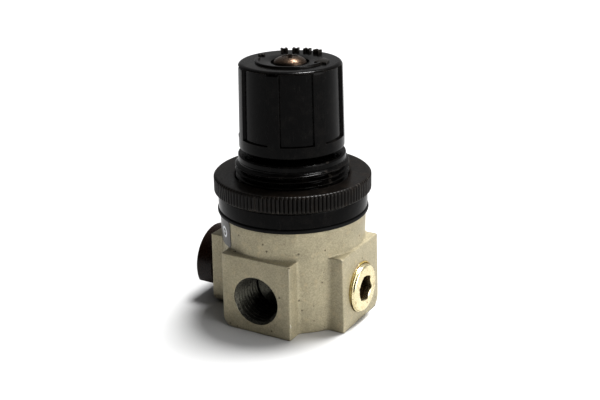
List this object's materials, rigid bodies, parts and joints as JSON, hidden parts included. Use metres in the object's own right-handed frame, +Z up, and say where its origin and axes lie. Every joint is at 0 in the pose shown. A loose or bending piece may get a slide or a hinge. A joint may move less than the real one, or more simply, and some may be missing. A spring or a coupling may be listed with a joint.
{
  "type": "air pressure regulator",
  "caption": "Small panel-mount air pressure regulator: round cast body with square port bosses, knurled ring nut and a push-to-lock knob with recessed grip panels.",
  "frame": {"origin": "centre of the flat underside, on the spindle axis", "axes": "+Z up along the spindle and the panel thread; -Y out of the inlet port, +Y out of the outlet port, +X out of the plugged gauge port"},
  "size_m": [0.0479, 0.0416, 0.0695],
  "materials": {
    "body_paint": "cast metal under a satin metallic champagne paint",
    "black_plastic": "moulded, slightly glossy",
    "ring_plastic": "moulded, worn",
    "black_cap_plastic": "moulded, worn",
    "plug_brass": "bright turned brass",
    "brass": "turned brass",
    "zinc_steel": "zinc plated",
    "spring_steel": "oiled spring steel",
    "bronzed_steel": "dark, rust tinged",
    "black_rubber": "moulded rubber",
    "label_foil": "printed metal foil",
    "sealant": "dried thread sealant",
    "white_plastic": "moulded acetal"
  },
  "bodies": {
    "housing": {"body": "body_paint", "bottom_cap": "black_plastic", "bottom_cap_oring": "black_rubber", "valve_seat": "brass", "stem_oring": "black_rubber", "valve_spring": "spring_steel", "diaphragm": "black_rubber", "diaphragm_clamp_ring": "white_plastic", "bonnet_gasket": "black_rubber", "bonnet": "black_plastic", "range_spring": "spring_steel", "thrust_washer": "white_plastic", "gauge_port_plug": "plug_brass", "plug_sealant": "sealant", "port_cap": "black_cap_plastic", "port_cap_seal": "black_rubber", "rating_label": "label_foil"},
    "valve": {"valve_stem": "zinc_steel", "valve_poppet": "brass", "poppet_seal": "black_rubber"},
    "diaphragm_plates": {"diaphragm_lower_plate": "zinc_steel", "relief_stud": "brass", "diaphragm_upper_plate": "zinc_steel", "diaphragm_nut": "zinc_steel"},
    "spring_nut": {"adjusting_nut": "brass"},
    "spindle": {"adjusting_spindle": "zinc_steel", "spindle_clip": "spring_steel", "knob_screw": "bronzed_steel"},
    "knob": {"knob": "black_plastic"},
    "ring_nut": {"panel_nut": "ring_plastic"}
  },
  "joints": [
    {"name": "spindle_turn", "type": "hinge", "parent": "housing", "child": "spindle", "pos_m": [0, 0, 0.045], "axis": [0, 0, 1], "range_deg": [-1440.5, 0.5]},
    {"name": "knob_lock", "type": "slide", "parent": "spindle", "child": "knob", "axis": [0, 0, 1], "range_m": [-0.0015, 0]},
    {"name": "spring_nut_travel", "type": "slide", "parent": "housing", "child": "spring_nut", "axis": [0, 0, 1], "range_m": [-0.005, 0], "deforming": ["range_spring"]},
    {"name": "diaphragm_travel", "type": "slide", "parent": "housing", "child": "diaphragm_plates", "axis": [0, 0, 1], "range_m": [-0.0008, 0], "stiffness_N_per_m": 2000, "springref_m": 0.0004, "deforming": ["diaphragm"]},
    {"name": "valve_travel", "type": "slide", "parent": "housing", "child": "valve", "axis": [0, 0, 1], "range_m": [-0.00081, 0.00001], "deforming": ["valve_spring"]},
    {"name": "ring_nut_travel", "type": "slide", "parent": "housing", "child": "ring_nut", "axis": [0, 0, 1], "range_m": [0, 0.004]}
  ],
  "couplings": [
    {"joint": "spindle_turn", "follows": "spring_nut_travel", "rad_per_m": 5026.5},
    {"joint": "valve_travel", "follows": "diaphragm_travel", "ratio": 1}
  ]
}
